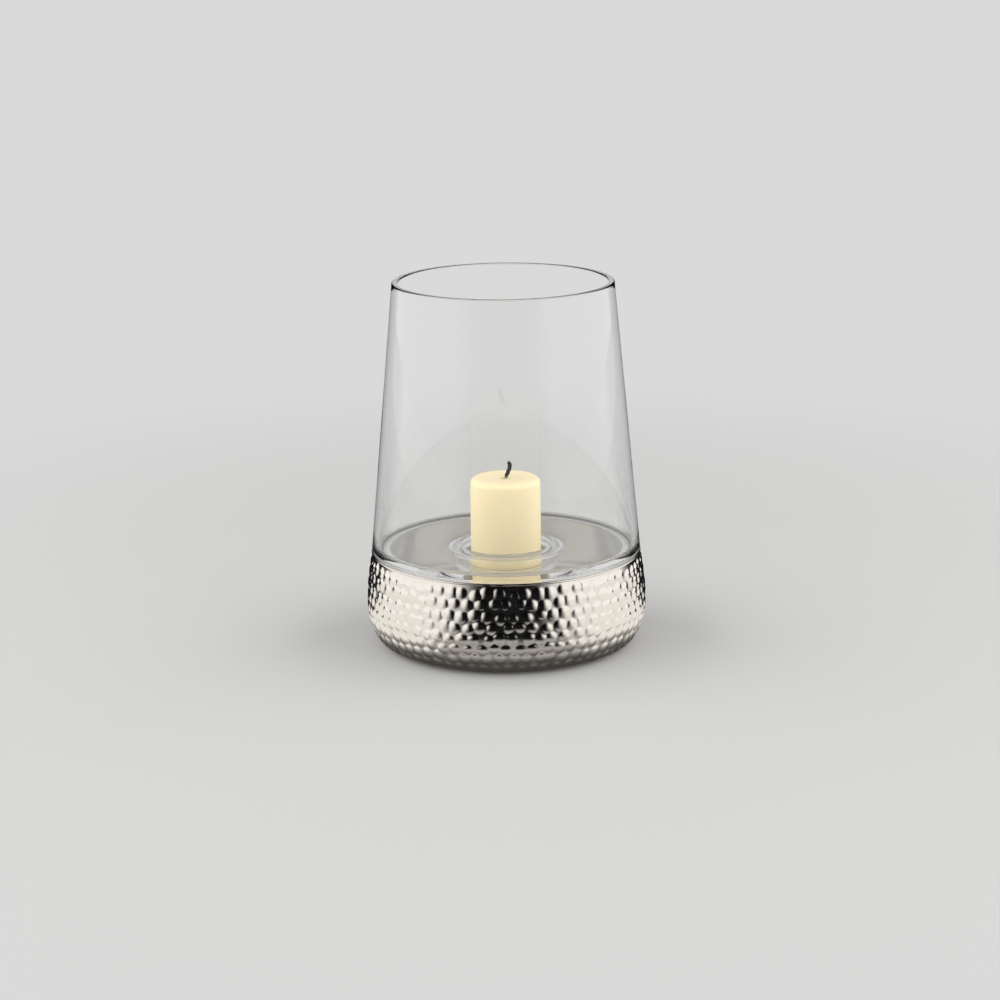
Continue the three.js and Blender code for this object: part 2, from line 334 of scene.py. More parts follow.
class ShapeGraph(Graph):
    """A Geometry Nodes tree with named inputs, run to make plain meshes."""

    def __init__(self, name: str) -> None:
        """Starts an empty tree.

        Args:
            name: Name of the tree.
        """
        super().__init__(bpy.data.node_groups.new(name, "GeometryNodeTree"))
        self.entry = self.tree.nodes.new("NodeGroupInput")
        self.identifiers: dict[str, str] = {}

    def input(self, name: str, kind: str) -> Wire:
        """Declares a named input.

        Args:
            name: Name of the input.
            kind: Socket type, without its common prefix.

        Returns:
            The input's wire.
        """
        interface = self.tree.interface
        item = interface.new_socket(name=name, in_out="INPUT", socket_type=f"NodeSocket{kind}")
        self.identifiers[name] = item.identifier
        return Wire(self, self.entry.outputs[name])

    def object_geometry(self, name: str) -> Wire:
        """The geometry of an object given as an input."""
        source = self.input(name, "Object")
        return self.wire("GeometryNodeObjectInfo", {}, {"Object": source}, "Geometry")

    def position(self) -> Wire:
        """The position field."""
        return self.wire("GeometryNodeInputPosition", {}, {})

    def normal(self) -> Wire:
        """The normal field."""
        return self.wire("GeometryNodeInputNormal", {}, {})

    def named(self, mark: Mark) -> Wire:
        """A named attribute as a number."""
        settings = {"data_type": "FLOAT"}
        return self.wire("GeometryNodeInputNamedAttribute", settings, {"Name": mark.value})

    def stored(self, geometry: Wire, mark: Mark, value: Wire) -> Wire:
        """Stores a number under a name on every point."""
        values = {"Geometry": geometry, "Name": mark.value, "Value": value}
        return self.wire("GeometryNodeStoreNamedAttribute", {"data_type": "FLOAT"}, values)

    def sampled(self, geometry: Wire, value: Wire, index: Wire, kind: str) -> Wire:
        """Reads a field at one point of another geometry, as FLOAT or FLOAT_VECTOR."""
        values = {"Geometry": geometry, "Value": value, "Index": index}
        return self.wire("GeometryNodeSampleIndex", {"data_type": kind}, values)

    def placed(self, geometry: Wire, position: Wire) -> Wire:
        """Puts the points of a geometry in new places."""
        values = {"Geometry": geometry, "Position": position}
        return self.wire("GeometryNodeSetPosition", {}, values)

    def shifted(self, geometry: Wire, offset: Wire) -> Wire:
        """Moves the points of a geometry by an offset."""
        return self.wire("GeometryNodeSetPosition", {}, {"Geometry": geometry, "Offset": offset})

    def finish(self, geometry: Wire, crease: float) -> None:
        """Ends the tree: smooth faces with creases at sharp edges, real instances, a material.

        Args:
            geometry: What the tree has made.
            crease: Angle between faces from which an edge stays sharp.
        """
        shading = "GeometryNodeSetShadeSmooth"
        smooth = self.wire(shading, {"domain": "FACE"}, {"Geometry": geometry})
        angle = self.wire("GeometryNodeInputMeshEdgeAngle", {}, {}, "Unsigned Angle")
        sharp = {"Selection": self.math("GREATER_THAN", angle, crease), "Shade Smooth": False}
        creased = self.wire(shading, {"domain": "EDGE"}, {"Geometry": smooth, **sharp})
        real = self.wire("GeometryNodeRealizeInstances", {}, {"Geometry": creased})
        values = {"Geometry": real, "Material": self.input("Finish", "Material")}
        dressed = self.wire("GeometryNodeSetMaterial", {}, values)
        self.tree.interface.new_socket(
            name="Geometry", in_out="OUTPUT", socket_type="NodeSocketGeometry"
        )
        self.node("NodeGroupOutput", {}, {0: dressed})

    def run(self, name: str, values: dict[str, object]) -> bpy.types.Object:
        """Runs the tree once and keeps its result as a plain mesh.

        Args:
            name: Name of the new piece.
            values: Values of the named inputs.

        Returns:
            The piece, at the origin and with no modifier.
        """
        piece = new_object(name, bpy.data.meshes.new(name))
        modifier = piece.modifiers.new(name, "NODES")
        modifier.node_group = self.tree
        for key, value in values.items():
            modifier[self.identifiers[key]] = value
        depsgraph = bpy.context.evaluated_depsgraph_get()
        evaluated = piece.evaluated_get(depsgraph)
        result = bpy.data.meshes.new_from_object(evaluated, depsgraph=depsgraph)
        piece.modifiers.clear()
        piece.data = result
        result.name = name
        face_outwards(result)
        return piece


def new_object(name: str, data: bpy.types.ID) -> bpy.types.Object:
    """Adds an object to the scene.

    Args:
        name: Name of the object.
        data: Its mesh, curve, lamp or camera.

    Returns:
        The object, at the origin.
    """
    made = bpy.data.objects.new(name, data)
    bpy.context.scene.collection.objects.link(made)
    return made


def face_outwards(mesh: bpy.types.Mesh) -> None:
    """Turns the faces of a closed mesh outwards, judged by its signed volume.

    Args:
        mesh: A closed mesh whose faces all point the same way.
    """
    mesh.calc_loop_triangles()
    points = [vertex.co for vertex in mesh.vertices]
    volume = 0.0
    for triangle in mesh.loop_triangles:
        first, second, third = (points[i] for i in triangle.vertices)
        volume += first.dot(second.cross(third))
    if volume < 0:
        mesh.flip_normals()


def loose_mesh(name: str, points: Sequence[Vector], joined: bool = False) -> bpy.types.Object:
    """Makes a helper object of points.

    Args:
        name: Name of the helper.
        points: The points.
        joined: Whether an edge joins each point to the next.

    Returns:
        The helper, to be removed after use.
    """
    edges = [(i, i + 1) for i in range(len(points) - 1)] if joined else []
    mesh = bpy.data.meshes.new(name)
    mesh.from_pydata([tuple(point) for point in points], edges, [])
    return new_object(name, mesh)


def write_mark(helper: bpy.types.Object, mark: Mark, values: Sequence[float]) -> None:
    """Writes one number for each point of a helper, in their order."""
    attribute = helper.data.attributes.new(mark.value, "FLOAT", "POINT")
    attribute.data.foreach_set("value", list(values))


def remove(helper: bpy.types.Object) -> None:
    """Removes a helper object and its mesh.

    Args:
        helper: The helper object.
    """
    mesh = helper.data
    bpy.data.objects.remove(helper)
    bpy.data.meshes.remove(mesh)


@dataclass(frozen=True)
class Corner:
    """A corner of a profile in the plane of radius and height, rounded by a fillet."""

    radius: float
    height: float
    fillet: float = 0.0

    @property
    def point(self) -> Vector:
        """The corner before it is rounded."""
        return Vector((self.radius, self.height))


class Profile:
    """The outline of a turned piece, from radius 0 or from its first point to its last."""

    ARC_STEP = math.radians(8)
    EDGE_SHARE = 0.49

    def __init__(self, points: Sequence[Vector]) -> None:
        """Keeps the points of the outline, as radius and height."""
        self.points = list(points)

    @classmethod
    def rounded(cls, corners: Sequence[Corner], closed: bool = False) -> Profile:
        """Rounds each corner by an arc tangent to its edges.

        Args:
            corners: The corners in order.
            closed: Whether the last corner joins the first.

        Returns:
            The profile.
        """
        count = len(corners)
        points: list[Vector] = []
        for i, item in enumerate(corners):
            if item.fillet:
                before = corners[(i - 1) % count].point
                after = corners[(i + 1) % count].point
                points.extend(cls._arc(before, item, after))
            else:
                points.append(item.point)
        if closed:
            points.append(points[0].copy())
        return cls(points)

    @classmethod
    def _arc(cls, before: Vector, corner: Corner, after: Vector) -> list[Vector]:
        """Rounds one corner.

        Args:
            before: The corner before it.
            corner: The corner.
            after: The corner after it.

        Returns:
            The points of its arc.
        """
        to_before = before - corner.point
        to_after = after - corner.point
        room = cls.EDGE_SHARE * min(to_before.length, to_after.length)
        half = to_before.angle(to_after) / 2
        setback = min(corner.fillet / math.tan(half), room)
        radius = setback * math.tan(half)
        middle = (to_before.normalized() + to_after.normalized()).normalized()
        centre = corner.point + middle * (radius / math.sin(half))
        first = corner.point + to_before.normalized() * setback - centre
        last = corner.point + to_after.normalized() * setback - centre
        turn = math.atan2(first.x * last.y - first.y * last.x, first.dot(last))
        steps = max(2, math.ceil(abs(turn) / cls.ARC_STEP))
        return [centre + Matrix.Rotation(turn * i / steps, 2) @ first for i in range(steps + 1)]

    def subdivided(self, longest: float) -> Profile:
        """Splits edges that are longer than a length.

        Args:
            longest: The longest edge that stays whole.

        Returns:
            The finer profile.
        """
        points = [self.points[0]]
        for start, end in zip(self.points, self.points[1:]):
            parts = max(1, math.ceil((end - start).length / longest))
            points.extend(start.lerp(end, i / parts) for i in range(1, parts + 1))
        return Profile(points)

    def raised(self, height: float) -> Profile:
        """The same profile higher up."""
        return Profile([point + Vector((0.0, height)) for point in self.points])

    def helper(self, name: str) -> bpy.types.Object:
        """The profile as a helper object in the plane of X and Z."""
        points = [Vector((point.x, 0.0, point.y)) for point in self.points]
        return loose_mesh(name, points, joined=True)


class TurningTree(ShapeGraph):
    """Turns a profile round the vertical axis and sinks its surface by noise if asked."""

    NAME = "turned form"
    CREASE = math.radians(50)
    WEAR_OCTAVES = 2.0

    def __init__(self) -> None:
        """Builds the tree."""
        super().__init__(self.NAME)
        self.finish(self.shaped(self.turned()), self.CREASE)

    def turned(self) -> Wire:
        """Wraps a grid round the axis, with a row for each profile point.

        Returns:
            The turned surface, with its seam and poles merged.
        """
        profile = self.object_geometry("Profile")
        sides = self.input("Sides", "Int")
        rows = self.wire(
            "GeometryNodeAttributeDomainSize",
            {"component": "MESH"},
            {"Geometry": profile},
            "Point Count",
        )
        values = {"Size X": 1.0, "Size Y": 1.0, "Vertices X": sides + 1, "Vertices Y": rows}
        grid = self.wire("GeometryNodeMeshGrid", {}, values, "Mesh")
        across, along, _ = self.axes(self.position())
        row = self.math("ROUND", (along + 0.5) * (rows - 1))
        point = self.sampled(profile, self.position(), row, "FLOAT_VECTOR")
        relief = self.sampled(profile, self.named(Mark.RELIEF), row, "FLOAT")
        radius, _, height = self.axes(point)
        angle = (across + 0.5) * math.tau
        x, y = (radius * self.math(function, angle) for function in ("COSINE", "SINE"))
        wrapped = self.placed(self.stored(grid, Mark.RELIEF, relief), self.vector(x, y, height))
        values = {"Geometry": wrapped, "Distance": MERGE_DISTANCE}
        return self.wire("GeometryNodeMergeByDistance", {}, values)

    def shaped(self, geometry: Wire) -> Wire:
        """Sinks the marked surface by noise, as hand work and wear do.

        Args:
            geometry: The turned surface.

        Returns:
            The worn surface.
        """
        depth = self.input("Wear depth", "Float")
        scale = self.input("Wear scale", "Float")
        values = {"Vector": self.position(), "Scale": scale, "Detail": self.WEAR_OCTAVES}
        noise = self.wire("ShaderNodeTexNoise", {}, values)
        inward = self.named(Mark.RELIEF) * noise * depth * -1.0
        return self.shifted(geometry, self.scaled(self.normal(), inward))

    def turn(
        self,
        name: str,
        profile: Profile,
        sides: int,
        finish: bpy.types.Material,
        relief: Sequence[float] | None = None,
        shaping: dict[str, object] | None = None,
    ) -> bpy.types.Object:
        """Runs the tree on one profile.

        Args:
            name: Name of the new piece.
            profile: Its outline.
            sides: Faces round the axis.
            finish: Its material.
            relief: How much of the shaping each point of the outline takes, none if left out.
            shaping: Values of the inputs that shape the surface.

        Returns:
            The piece.
        """
        outline = profile.helper(f"{name} profile")
        write_mark(outline, Mark.RELIEF, relief or [0.0] * len(profile.points))
        values = {"Profile": outline, "Sides": sides, "Finish": finish, **(shaping or {})}
        piece = self.run(name, values)
        remove(outline)
        return piece


class BeadedTree(TurningTree):
    """Turns the bowl's profile and raises a dome over each bead centre on its flank."""

    NAME = "beaded bowl"
    DOME_POWER = 2.3

    def shaped(self, geometry: Wire) -> Wire:
        """Raises the domes where the profile is marked.

        Args:
            geometry: The turned surface.

        Returns:
            The beaded surface, which carries each point's share of a full dome.
        """
        seeds = self.object_geometry("Bead centres")
        bead_radius = self.input("Bead radius", "Float")
        bead_height = self.input("Bead height", "Float")
        values = {"Geometry": seeds, "Sample Position": self.position()}
        nearest = self.wire("GeometryNodeSampleNearest", {"domain": "POINT"}, values)
        centre = self.sampled(seeds, self.position(), nearest, "FLOAT_VECTOR")
        size = self.sampled(seeds, self.named(Mark.BEAD_SIZE), nearest, "FLOAT")
        distance = self.length(self.vector_math("SUBTRACT", self.position(), centre))
        share = distance / (bead_radius * size)
        dome = (1 - share**self.DOME_POWER).at_least(0.0) * self.named(Mark.RELIEF)
        domed = self.stored(geometry, Mark.DOME, dome)
        rise = self.named(Mark.DOME) * size * bead_height
        return self.shifted(domed, self.scaled(self.normal(), rise))


class CordTree(ShapeGraph):
    """Twists strands round a path into a cord that swells past a point and tapers at its tip."""

    CREASE = math.radians(80)
    SWELL_RATE = 5.0
    TIP_SHARE = 0.02
    TIP_GIRTH = 0.3
    TIP_POWER = 0.5
    SECTION_SIDES = 10

    def __init__(self) -> None:
        """Builds the tree."""
        super().__init__("twisted cord")
        line = self.object_geometry("Path")
        path = self.wire("GeometryNodeMeshToCurve", {}, {"Mesh": line})
        self.steps = self.input("Steps", "Int")
        self.cord_radius = self.input("Cord radius", "Float")
        self.turns = self.input("Turns", "Float")
        self.swell = self.input("Swell", "Float")
        self.swell_from = self.input("Swell from", "Float")
        self.strand_count = self.input("Strands", "Int")
        self.finish(self.strands(path), self.CREASE)

    def strands(self, path: Wire) -> Wire:
        """Copies the path once for each strand and sweeps a round section along it.

        Args:
            path: The cord's centreline.

        Returns:
            The strands as a mesh.
        """
        fine = self.wire("GeometryNodeResampleCurve", {}, {"Curve": path, "Count": self.steps})
        lines, index = self.wires(
            "GeometryNodeDuplicateElements",
            {"domain": "SPLINE"},
            {"Geometry": fine, "Amount": self.strand_count},
            ("Geometry", "Duplicate Index"),
        )
        along = self.wire("GeometryNodeSplineParameter", {}, {}, "Factor")
        angle = (index / self.strand_count + along * self.turns) * math.tau
        past = (along - self.swell_from) / (1 - self.swell_from)
        swollen = 1 + self.swell * (past * self.SWELL_RATE).at_least(0.0).at_most(1.0)
        tip = ((1 - along) / self.TIP_SHARE).at_most(1.0) ** self.TIP_POWER
        girth = swollen * (self.TIP_GIRTH + (1 - self.TIP_GIRTH) * tip)
        normal = self.normal()
        tangent = self.wire("GeometryNodeInputTangent", {}, {})
        across = self.vector_math("CROSS_PRODUCT", tangent, normal)
        strand_radius = self.cord_radius / 2
        reach = strand_radius * girth
        offset = self.vector_math(
            "ADD",
            self.scaled(normal, reach * self.math("COSINE", angle)),
            self.scaled(across, reach * self.math("SINE", angle)),
        )
        twisted = self.shifted(self.stored(lines, Mark.BURN, along), offset)
        values = {"Resolution": self.SECTION_SIDES, "Radius": strand_radius}
        section = self.wire("GeometryNodeCurvePrimitiveCircle", {}, values, "Curve")
        values = {"Curve": twisted, "Profile Curve": section, "Scale": girth, "Fill Caps": True}
        return self.wire("GeometryNodeCurveToMesh", {}, values)


@dataclass(frozen=True)
class PolishedNickel:
    """Polished nickel plate over hammered metal, darker and browner between the beads by painted
    shade, with a little tarnishing in a haze and in spots.

    Shares are those of the valleys between the beads (painted shade), the haze and the spots.
    """

    bright: Colour = (0.84, 0.8, 0.74, 1.0)
    # This tone also paints shade into the valleys between the beads.
    shade_and_tarnish_tone: Colour = (0.56, 0.5, 0.42, 1.0)
    painted_valley_shade: Range = (0.0, 0.35)
    haze: Pattern = Pattern(26.0, 5.0, 0.6)
    spots: Pattern = Pattern(320.0, 4.0, 0.7)
    spot_range: Range = (0.62, 0.8)
    shade_and_tarnish_shares: Point = (0.12, 0.1, 0.12)
    polish: float = 0.045
    dull_shares: Point = (0.04, 0.06, 0.04)
    grain: Pattern = Pattern(1400.0, 2.0)
    ripple: Pattern = Pattern(90.0, 2.0)
    ripple_share: float = 12.0
    grain_depth: float = 0.004 * MM

    def build(self) -> bpy.types.Material:
        """Builds the material.

        Returns:
            The material.
        """
        graph = SurfaceGraph("polished nickel")
        # Painted shade: the metal is tinted darker and browner in the valleys between the beads.
        painted_valley_shade = 1 - graph.mark(Mark.DOME).between(*self.painted_valley_shade)
        spots = graph.noise(self.spots).between(*self.spot_range)
        marks = (painted_valley_shade, graph.noise(self.haze), spots)
        shade_and_tarnish = blended(marks, self.shade_and_tarnish_shares).at_most(1.0)
        height = graph.noise(self.grain) + graph.noise(self.ripple) * self.ripple_share
        shader = graph.principled(
            {
                "Base Color": graph.mix(shade_and_tarnish, self.bright, self.shade_and_tarnish_tone),
                "Metallic": 1.0,
                "Roughness": self.polish + blended(marks, self.dull_shares),
                "Normal": graph.bump(height, self.grain_depth),
            }
        )
        return graph.finished(shader)


@dataclass(frozen=True)
class ClearGlass:
    """Clear blown glass whose surface waves a little, with faint wiped haze."""

    tint: Colour = (0.99, 0.995, 0.992, 1.0)
    shadow: Colour = (0.99, 0.992, 0.991, 1.0)
    refraction: float = 1.5
    wave: Pattern = Pattern(42.0, 1.0, stretch=(1.0, 1.0, 0.35))
    wave_depth: float = 0.03 * MM
    wiping: Pattern = Pattern(60.0, 4.0, stretch=(1.0, 1.0, 0.3))
    wiping_range: Range = (0.5, 0.85)
    haze: float = 0.02

    def build(self) -> bpy.types.Material:
        """Builds the material, which lets the light of the lamps and the room straight through.

        Returns:
            The material.
        """
        graph = SurfaceGraph("clear glass")
        wiped = graph.noise(self.wiping).between(*self.wiping_range)
        glass = graph.principled(
            {
                "Base Color": self.tint,
                "Roughness": wiped * self.haze,
                "IOR": self.refraction,
                "Transmission Weight": 1.0,
                "Normal": graph.bump(graph.noise(self.wave), self.wave_depth),
            }
        )
        shadow, diffuse = graph.light_path("Is Shadow Ray", "Is Diffuse Ray")
        return graph.finished(graph.thinned(glass, shadow.at_least(diffuse), self.shadow))


@dataclass(frozen=True)
class CandleWax:
    """Ivory wax with a soft sheen: clouded, finely pitted, and sooty round the wick.

    The deeper colour's shares are those of the clouds, the streaks and the painted shade at the
    foot, the roughness's those of the clouds and the pits, and the bump's those of the pits,
    streaks and clouds.
    Heights are above the table, and the soot's radii are from the wick.
    """

    pale: Colour = srgb(255, 239, 200)
    deep: Colour = srgb(253, 225, 172)
    soot: Colour = srgb(150, 124, 86)
    clouds: Pattern = Pattern(34.0, 4.0, 0.6)
    streaks: Pattern = Pattern(160.0, 3.0, stretch=(1.0, 1.0, 0.12))
    pits: Pattern = Pattern(900.0, 3.0, 0.6)
    # Painted shade on the wax fades out between these heights.
    foot_shade_heights: Range = (0.052, 0.075)
    top_heights: Range = (0.116, 0.118)
    soot_radii: Range = (1.5 * MM, 5.0 * MM)
    soot_share: float = 0.45
    deep_shares: Point = (0.5, 0.3, 0.35)
    roughness: float = 0.36
    rough_shares: Range = (0.16, 0.08)
    bump_shares: Point = (0.6, 0.8, 2.0)
    bump_depth: float = 0.06 * MM
    glow: float = 0.3
    glow_reach: Point = (1.0, 0.72, 0.38)
    glow_depth: float = 4 * MM

    def build(self) -> bpy.types.Material:
        """Builds the material.

        Returns:
            The material.
        """
        graph = SurfaceGraph("ivory wax")
        x, y, height = graph.axes(graph.place)
        clouds = graph.noise(self.clouds)
        streaks = graph.noise(self.streaks)
        pits = graph.noise(self.pits)
        # Painted shade: the wax turns deeper in colour near its foot, down in the glass's well.
        foot = 1 - height.between(*self.foot_shade_heights)
        deepened_and_shaded = blended((clouds, streaks, foot), self.deep_shares).at_most(1.0)
        near_wick = 1 - graph.length(graph.vector(x, y, 0.0)).between(*self.soot_radii)
        sooty = near_wick * height.between(*self.top_heights) * self.soot_share
        relief = blended((pits, streaks, clouds), self.bump_shares)
        shader = graph.principled(
            {
                "Base Color": graph.mix(
                    sooty, graph.mix(deepened_and_shaded, self.pale, self.deep), self.soot
                ),
                "Roughness": self.roughness + blended((clouds, pits), self.rough_shares),
                "Subsurface Weight": self.glow,
                "Subsurface Radius": self.glow_reach,
                "Subsurface Scale": self.glow_depth,
                "Normal": graph.bump(relief, self.bump_depth),
            }
        )
        return graph.finished(shader)


@dataclass(frozen=True)
class CharredCotton:
    """A cotton wick: waxy and cream inside the candle, charred black towards its tip."""

    cotton: Colour = srgb(214, 200, 165)
    char: Colour = srgb(24, 20, 17)
    ash: Colour = srgb(70, 64, 58)
    burn: Range = (0.83, 0.86)
    flakes: Pattern = Pattern(1900.0, 3.0, 0.7)
    flake_range: Range = (0.58, 0.75)
    fibres: Pattern = Pattern(5200.0, 2.0, stretch=(1.0, 1.0, 0.2))
    roughness: float = 0.78
    flake_roughness: float = 0.2
    bump_depth: float = 0.12 * MM

    def build(self) -> bpy.types.Material:
        """Builds the material.

        Returns:
            The material.
        """
        graph = SurfaceGraph("charred cotton")
        flakes = graph.noise(self.flakes)
        charred = graph.mix(flakes.between(*self.flake_range), self.char, self.ash)
        burnt = graph.mark(Mark.BURN).between(*self.burn)
        shader = graph.principled(
            {
                "Base Color": graph.mix(burnt, self.cotton, charred),
                "Roughness": self.roughness + flakes * self.flake_roughness,
                "Normal": graph.bump(graph.noise(self.fibres) + flakes, self.bump_depth),
            }
        )
        return graph.finished(shader)


@dataclass(frozen=True)
class PressedFelt:
    """Dark pressed wool felt."""

    dark: Colour = srgb(42, 42, 45)
    light: Colour = srgb(84, 83, 86)
    wool: Pattern = Pattern(1500.0, 5.0, 0.75)
    tufts: Pattern = Pattern(260.0, 3.0)
    light_shares: Range = (0.7, 0.2)
    roughness: float = 0.88
    tuft_roughness: float = 0.12
    nap: float = 0.35
    nap_roughness: float = 0.5
    bump_depth: float = 0.25 * MM

    def build(self) -> bpy.types.Material:
        """Builds the material.

        Returns:
            The material.
        """
        graph = SurfaceGraph("pressed felt")
        wool, tufts = graph.noise(self.wool), graph.noise(self.tufts)
        lightened = blended((wool, tufts), self.light_shares)
        shader = graph.principled(
            {
                "Base Color": graph.mix(lightened, self.dark, self.light),
                "Roughness": self.roughness + tufts * self.tuft_roughness,
                "Sheen Weight": self.nap,
                "Sheen Roughness": self.nap_roughness,
                "Normal": graph.bump(wool + tufts, self.bump_depth),
            }
        )
        return graph.finished(shader)


@dataclass(frozen=True)
class StudioPaper:
    """Pale paper that fades out far from the object, from below and under polished metal.

    Each fade is given by two distances from the point under the bowl's centre.
    """

    colour: Colour = (0.555, 0.553, 0.546, 1.0)
    far_fade: Range = (0.3, 0.95)
    gloss_fade: Range = (0.045, 0.068)

    def build(self) -> bpy.types.Material:
        """Builds the material.

        Returns:
            The material.
        """
        graph = SurfaceGraph("pale paper")
        distance = graph.length(graph.place)
        below = graph.wire("ShaderNodeNewGeometry", {}, {}, "Backfacing")
        (glossy,) = graph.light_path("Is Glossy Ray")
        beneath = glossy * (1 - distance.between(*self.gloss_fade))
        gone = distance.between(*self.far_fade).at_least(below).at_least(beneath)
        return graph.finished(graph.thinned(graph.matte(self.colour), gone))


@dataclass(frozen=True)
class ReflectorBoard:
    """A glowing board round the bowl: a painted reflection of lit floor, with painted shade near
    its foot.
    """

    lit: Colour = (0.96, 0.95, 0.925, 1.0)
    shaded: Colour = (0.07, 0.065, 0.06, 1.0)
    lit_radii: Range = (0.09, 0.135)

    def build(self) -> bpy.types.Material:
        """Builds the material.

        Returns:
            The material.
        """
        graph = SurfaceGraph("reflector board")
        # Painted shade: the board's glow dims close to the bowl's foot.
        share = graph.length(graph.place).between(*self.lit_radii)
        colour = graph.mix(share, self.shaded, self.lit)
        return graph.finished(graph.wire("ShaderNodeEmission", {}, {"Color": colour}))


@dataclass(frozen=True)
class BlackCloth:
    """Black cloth round the object, thinned out at its ends, its inner edge and its middle."""

    turn: float = 0.0
    half_angle: float = math.tau
    full_share: float = 0.6
    inner_fade: Range = NOWHERE
    middle_fade: Range = NOWHERE
    colour: Colour = (0.005, 0.005, 0.006, 1.0)

    def build(self) -> bpy.types.Material:
        """Builds the material.

        Returns:
            The material.
        """
        graph = SurfaceGraph("black cloth")
        x, y, _ = graph.axes(graph.place)
        ahead = x * math.sin(self.turn) - y * math.cos(self.turn)
        distance = graph.length(graph.vector(x, y, 0.0))
        aside = graph.math("ARCCOSINE", ahead / distance)
        ends = aside.between(self.full_share * self.half_angle, self.half_angle)
        inner_edge = 1 - distance.between(*self.inner_fade)
        middle = 1 - aside.between(*self.middle_fade)
        thin = ends.at_least(inner_edge).at_least(middle)
        return graph.finished(graph.thinned(graph.matte(self.colour), thin))


def settle(
    piece: bpy.types.Object, body: Body, nodes: Sequence[str]
) -> bpy.types.Object:
    """Puts a finished piece on its body, in place of the CAD nodes that it stands for.

    Args:
        piece: The finished piece.
        body: The body that it rides on.
        nodes: The CAD nodes that it replaces.

    Returns:
        The piece.
    """
    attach(piece, body.value)
    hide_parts(*nodes)
    triangles = sum(len(polygon.vertices) - 2 for polygon in piece.data.polygons)
    LOG.info("%s rides on %s, %d triangles", piece.name, body.value, triangles)
    return piece


@dataclass
class GlassSizes:
    """Sizes of the glass that the bowl's seat follows too, with heights from its resting face."""

    base_radius: float = 95.9 * MM
    rim_radius: float = 77.9 * MM
    height: float = 194.7 * MM
    corner: float = 4.5 * MM

    @property
    def taper(self) -> float:
        """How much the radius shrinks with each metre of height."""
        return (self.base_radius - self.rim_radius) / self.height

    @property
    def corner_centre(self) -> Vector:
        """Centre of the rounded lower corner, tangent to the underside and the tapered wall."""
        inset = self.corner * (math.hypot(1, self.taper) + self.taper)
        return Vector((self.base_radius - inset, self.corner))


class Flank:
    """The bowl's outer flank below its beads: a quarter ellipse, then a shallow parabola."""

    SAMPLES = 800

    def __init__(self, bowl: HammeredBowl, top: Vector) -> None:
        """Measures the flank.

        Args:
            bowl: The bowl's sizes.
            top: Radius and height where the flank ends below the lip.
        """
        self.bowl = bowl
        self.top = top
        self.points = [self._point(i / self.SAMPLES) for i in range(self.SAMPLES + 1)]
        self.reach = [0.0]
        for start, end in zip(self.points, self.points[1:]):
            self.reach.append(self.reach[-1] + (end - start).length)

    @property
    def length(self) -> float:
        """Length of the flank from the foot to its top."""
        return self.reach[-1]

    def _point(self, t: float) -> Vector:
        """A point of the flank, before it is known how long the flank is.

        Args:
            t: Parameter from 0 at the foot to 1 at the top, 0.5 at the belly.

        Returns:
            Radius and height.
        """
        bowl = self.bowl
        if t <= 0.5:
            turn = math.pi * t
            radius = bowl.foot_radius + bowl.foot_inset * math.sin(turn)
            return Vector((radius, bowl.belly_height * (1 - math.cos(turn))))
        rise = 2 * t - 1
        radius = bowl.beaded_radius + (self.top.x - bowl.beaded_radius) * rise * rise
        return Vector((radius, bowl.belly_height + (self.top.y - bowl.belly_height) * rise))

    def offset_point(self, share: float, distance: float) -> Vector:
        """A point at a share of the length, moved out along the surface normal.

        Args:
            share: Share of the length, from 0 to 1.
            distance: How far out, negative for inwards.

        Returns:
            Radius and height.
        """
        target = min(max(share, 0.0), 1.0) * self.length
        i = min(max(bisect_left(self.reach, target), 1), self.SAMPLES)
        start, end = self.points[i - 1], self.points[i]
        step = self.reach[i] - self.reach[i - 1]
        along = (end - start).normalized()
        point = start.lerp(end, (target - self.reach[i - 1]) / step)
        return point + Vector((along.y, -along.x)) * distance


